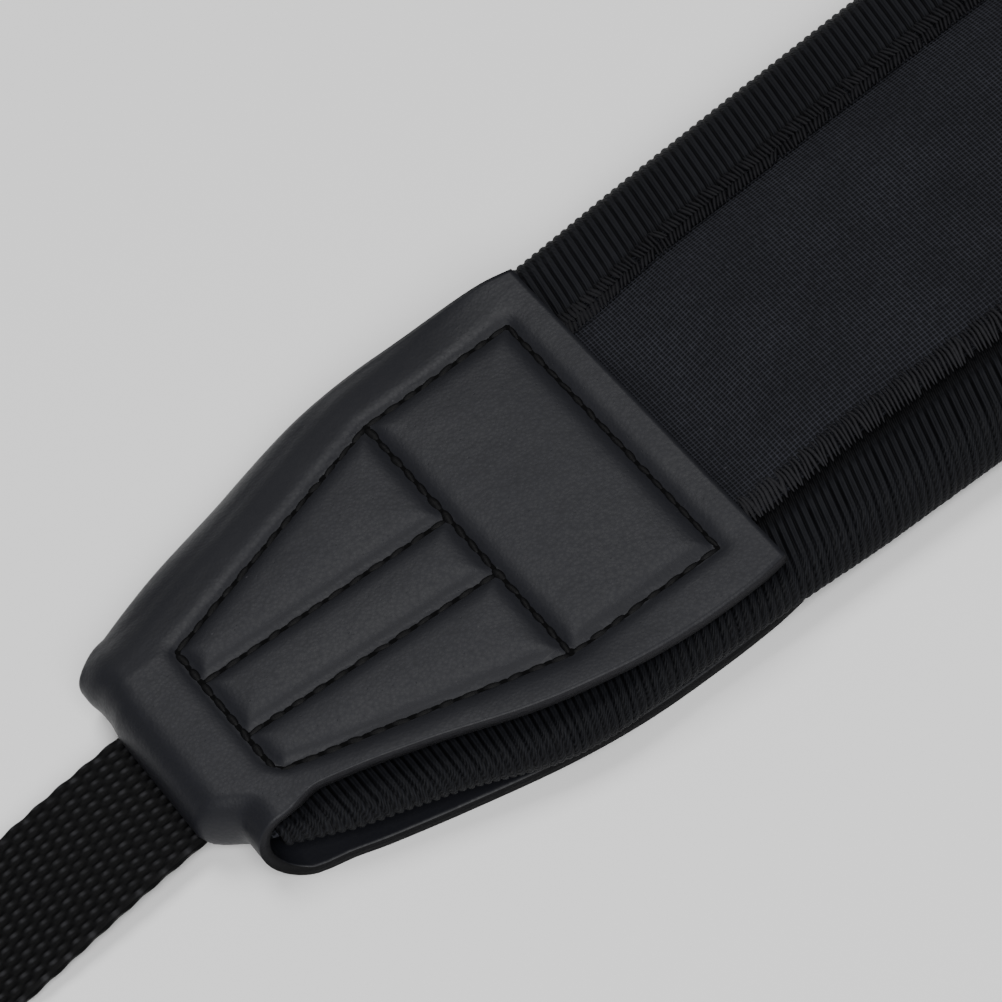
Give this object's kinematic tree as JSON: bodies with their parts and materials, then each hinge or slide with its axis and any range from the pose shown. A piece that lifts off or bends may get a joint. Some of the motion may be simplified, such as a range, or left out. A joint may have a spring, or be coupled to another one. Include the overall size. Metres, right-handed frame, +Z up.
{
  "type": "camera neck strap",
  "caption": "Padded camera neck strap: contoured neoprene pad with bound edges, folded stitched leather tabs and webbing ends doubled back through plain sliders.",
  "frame": {"origin": "bottom centre of the strap, laid out straight, face up, on a flat surface", "axes": "+X along the strap, +Z up out of its face, -Y its near side, to which both webbing ends lean"},
  "size_m": [0.88, 0.065, 0.011],
  "materials": {
    "pad_fabric": "black fine knit face on neoprene foam",
    "binding_tape": "black ribbed elastic binding tape",
    "tab_leather": "smooth satin black leather, black stitching",
    "webbing_nylon": "coarse woven black nylon webbing",
    "slider_plastic": "black moulded plastic"
  },
  "bodies": {
    "root": {"pad": "pad_fabric", "binding_near": "binding_tape", "binding_far": "binding_tape", "tab_left": "tab_leather", "tab_right": "tab_leather", "webbing_left": "webbing_nylon", "webbing_right": "webbing_nylon", "slider_left": "slider_plastic", "slider_right": "slider_plastic"}
  },
  "joints": []
}
